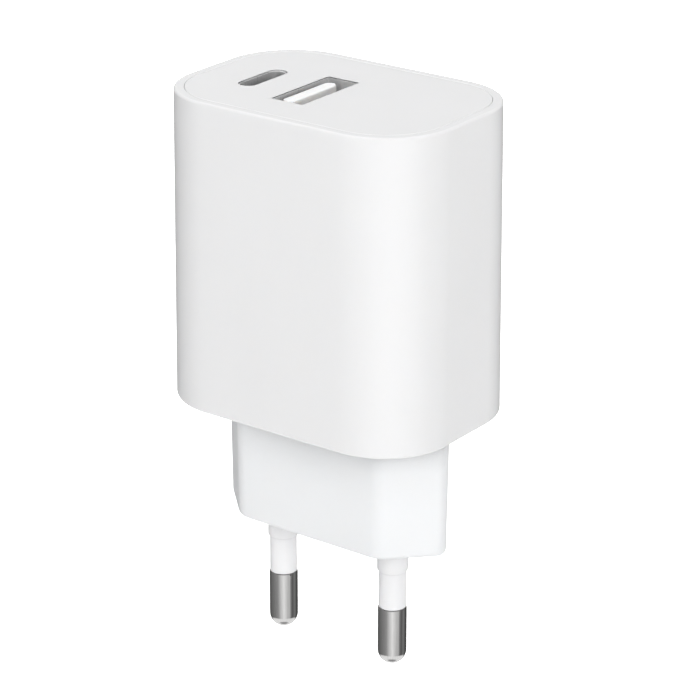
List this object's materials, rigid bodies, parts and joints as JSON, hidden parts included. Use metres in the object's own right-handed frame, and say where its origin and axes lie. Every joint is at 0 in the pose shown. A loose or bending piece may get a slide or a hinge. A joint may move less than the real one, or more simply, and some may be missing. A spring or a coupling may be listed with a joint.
{
  "type": "usb wall charger",
  "caption": "Compact two-pin Europlug wall charger with upright USB-C and USB-A ports in its top panel.",
  "frame": {"origin": "centre of the plug's engagement face, the flat end of the nose that the pins leave", "axes": "+Z from the pins towards the ports, +X along the casing's long side, -Y the front"},
  "size_m": [0.0426, 0.0296, 0.0805],
  "materials": {
    "casing_white": "fine satin",
    "plug_white": "satin",
    "sleeve_white": "satin",
    "tongue_white": "semi-gloss",
    "pin_nickel": "brushed nickel plate",
    "shell_steel": "tin-plated",
    "contact_gold": "gold-plated bronze",
    "terminal_brass": "stamped brass",
    "board_green": "solder-masked glass epoxy",
    "chip_black": "moulded epoxy",
    "dark_plastic": "moulded",
    "ferrite": "pressed ferrite",
    "copper": "enamelled copper wire",
    "tape_yellow": "polyester tape",
    "can_aluminium": "satin",
    "seal_rubber": "matt",
    "disc_blue": "epoxy dip",
    "disc_green": "epoxy dip",
    "fuse_ceramic": "ceramic tube",
    "spreader_aluminium": "rolled sheet",
    "pad_grey": "silicone pad",
    "insulation_film": "polyester film"
  },
  "bodies": {
    "charger": {"main_shell": "casing_white", "port_panel": "casing_white", "plug_base": "plug_white", "pin_left": "pin_nickel", "pin_right": "pin_nickel", "pin_sleeve_left": "sleeve_white", "pin_sleeve_right": "sleeve_white", "pin_retainer": "plug_white", "terminal_left": "terminal_brass", "terminal_right": "terminal_brass", "usb_a_shell": "shell_steel", "usb_a_insulator": "tongue_white", "usb_a_leg_1": "contact_gold", "usb_a_leg_2": "contact_gold", "usb_a_leg_3": "contact_gold", "usb_a_leg_4": "contact_gold", "usb_c_shell": "shell_steel", "usb_c_tongue": "dark_plastic", "main_board": "board_green", "port_board": "board_green", "board_link": "dark_plastic", "port_controller": "chip_black", "rectifier": "chip_black", "switch_chip": "chip_black", "output_rectifier": "chip_black", "opto_coupler": "chip_black", "insulation_sheet": "insulation_film", "core_left": "ferrite", "core_right": "ferrite", "bobbin": "dark_plastic", "winding": "copper", "transformer_tape": "tape_yellow", "bulk_capacitor_1": "can_aluminium", "bulk_capacitor_2": "can_aluminium", "capacitor_seal_1": "seal_rubber", "capacitor_seal_2": "seal_rubber", "fuse": "fuse_ceramic", "varistor": "disc_green", "safety_capacitor": "disc_blue", "choke_core": "ferrite", "choke_winding": "copper", "output_capacitor": "can_aluminium", "heat_spreader": "spreader_aluminium", "thermal_pad": "pad_grey"},
    "contact_1": {"usb_a_contact_1": "contact_gold"},
    "contact_2": {"usb_a_contact_2": "contact_gold"},
    "contact_3": {"usb_a_contact_3": "contact_gold"},
    "contact_4": {"usb_a_contact_4": "contact_gold"}
  },
  "joints": [
    {"name": "contact_1_flex", "type": "hinge", "parent": "charger", "child": "contact_1", "pos_m": [-0.00337, -0.0047, 0.0535], "axis": [0, -1, 0], "range_deg": [0, 5], "stiffness_Nm_per_rad": 0.05},
    {"name": "contact_2_flex", "type": "hinge", "parent": "charger", "child": "contact_2", "pos_m": [-0.00337, -0.0022, 0.0535], "axis": [0, -1, 0], "range_deg": [0, 5], "stiffness_Nm_per_rad": 0.05},
    {"name": "contact_3_flex", "type": "hinge", "parent": "charger", "child": "contact_3", "pos_m": [-0.00337, -0.0002, 0.0535], "axis": [0, -1, 0], "range_deg": [0, 5], "stiffness_Nm_per_rad": 0.05},
    {"name": "contact_4_flex", "type": "hinge", "parent": "charger", "child": "contact_4", "pos_m": [-0.00337, 0.0023, 0.0535], "axis": [0, -1, 0], "range_deg": [0, 5], "stiffness_Nm_per_rad": 0.05}
  ]
}
